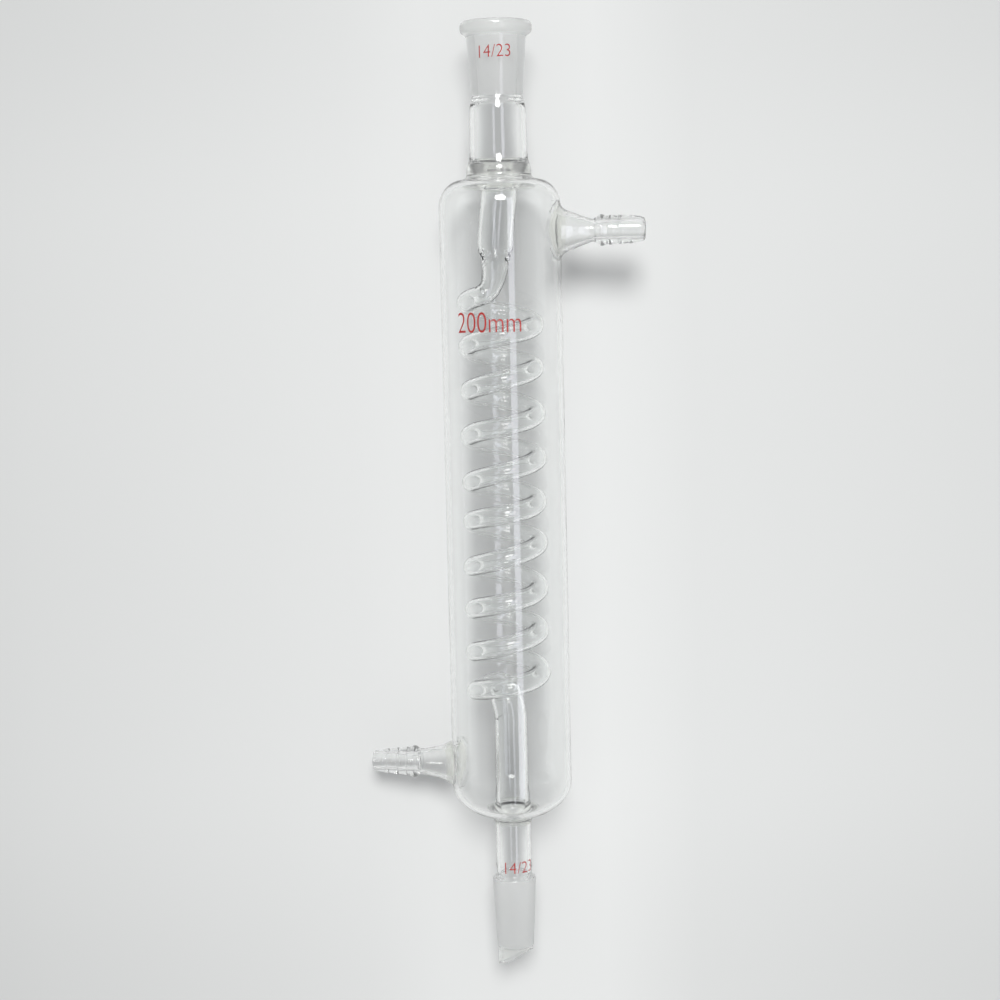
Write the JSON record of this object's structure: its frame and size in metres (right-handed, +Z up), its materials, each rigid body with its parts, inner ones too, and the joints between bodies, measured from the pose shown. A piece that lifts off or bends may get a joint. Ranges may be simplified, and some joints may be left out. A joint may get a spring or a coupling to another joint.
{
  "type": "coiled condenser",
  "caption": "Laboratory glass condenser: a coil inside a domed water jacket, with a ground socket, a slanted drip tip on a ground cone and serrated hose barbs.",
  "frame": {"origin": "on the bench, under the middle of the condenser as it lies on its side", "axes": "+Y along the condenser's axis towards the ground socket, +Z up, +X the side where the raised upper side arm points"},
  "size_m": [0.095, 0.3154, 0.0399],
  "materials": {
    "clear_glass": "fire-polished clear borosilicate",
    "fused_glass": "clear, thick and faintly green at the fused seals",
    "ground_glass": "clear outside, ground matte on the joint faces"
  },
  "bodies": {
    "root": {"water_jacket": "clear_glass", "neck_tube": "clear_glass", "drop_tube": "clear_glass", "coil_inlet_bend": "clear_glass", "cooling_coil": "clear_glass", "coil_outlet_bend": "clear_glass", "outlet_tube": "clear_glass", "lower_stem": "clear_glass", "drip_tip": "clear_glass", "upper_side_arm": "clear_glass", "upper_hose_barb": "clear_glass", "lower_side_arm": "clear_glass", "lower_hose_barb": "clear_glass", "top_ring_seal": "fused_glass", "base_ring_seal": "fused_glass", "ground_socket": "ground_glass", "ground_cone": "ground_glass"}
  },
  "joints": []
}
